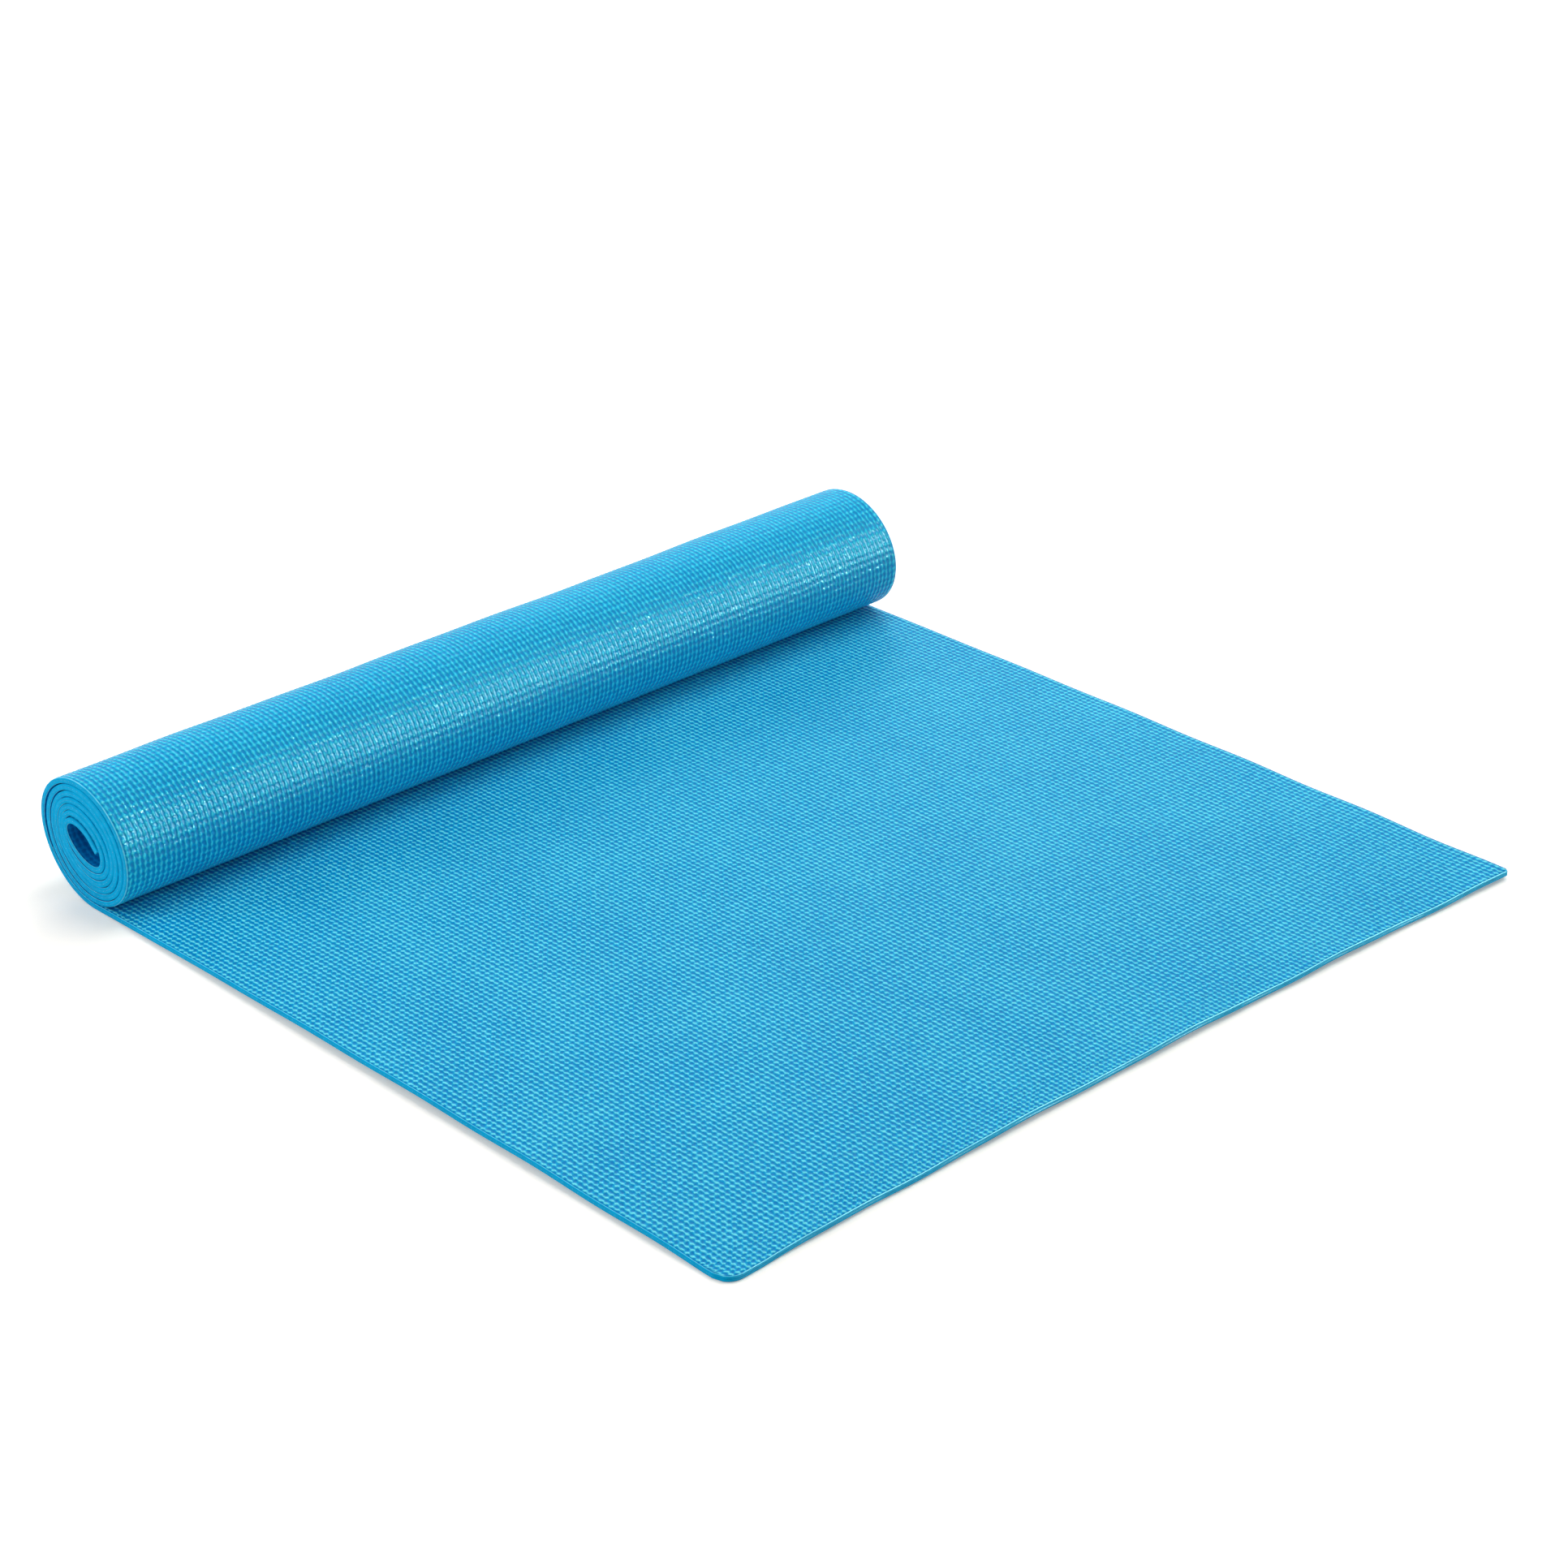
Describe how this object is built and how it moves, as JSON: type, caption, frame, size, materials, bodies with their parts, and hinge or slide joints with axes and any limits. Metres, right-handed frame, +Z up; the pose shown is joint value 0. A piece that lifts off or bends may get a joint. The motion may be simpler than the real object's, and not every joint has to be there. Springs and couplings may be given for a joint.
{
  "type": "yoga mat",
  "caption": "Half-unrolled yoga mat: nubbed foam sheet with an inner scrim, one end flat on the floor, the other wound in a loose oval roll.",
  "frame": {"origin": "centre of the footprint at floor level, half-way between the back of the roll and the free end", "axes": "+X from the roll towards the free end, +Y along the roll, +Z up"},
  "size_m": [0.5826, 0.61, 0.0778],
  "materials": {
    "top_foam": "nubbed closed-cell PVC foam, satin",
    "scrim": "open polyester net, matt",
    "bottom_foam": "nubbed closed-cell PVC foam, slightly glossier on its nubs"
  },
  "bodies": {
    "flat": {"flat_top_foam": "top_foam", "flat_scrim": "scrim", "flat_bottom_foam": "bottom_foam"},
    "bend": {"bend_top_foam": "top_foam", "bend_scrim": "scrim", "bend_bottom_foam": "bottom_foam"},
    "roll": {"roll_top_foam": "top_foam", "roll_scrim": "scrim", "roll_bottom_foam": "bottom_foam"}
  },
  "joints": [
    {"name": "roll_travel", "type": "slide", "parent": "flat", "child": "bend", "axis": [1, 0, 0], "range_m": [-0.24, 0.24], "deforming": ["flat_top_foam", "flat_scrim", "flat_bottom_foam", "bend_top_foam", "bend_scrim", "bend_bottom_foam"]},
    {"name": "roll_turn", "type": "hinge", "parent": "bend", "child": "roll", "pos_m": [-0.2472, 0, 0.0399], "axis": [0, 1, 0], "range_deg": [-360, 360]}
  ],
  "couplings": [
    {"joint": "roll_turn", "follows": "roll_travel", "rad_per_m": 26.178}
  ]
}
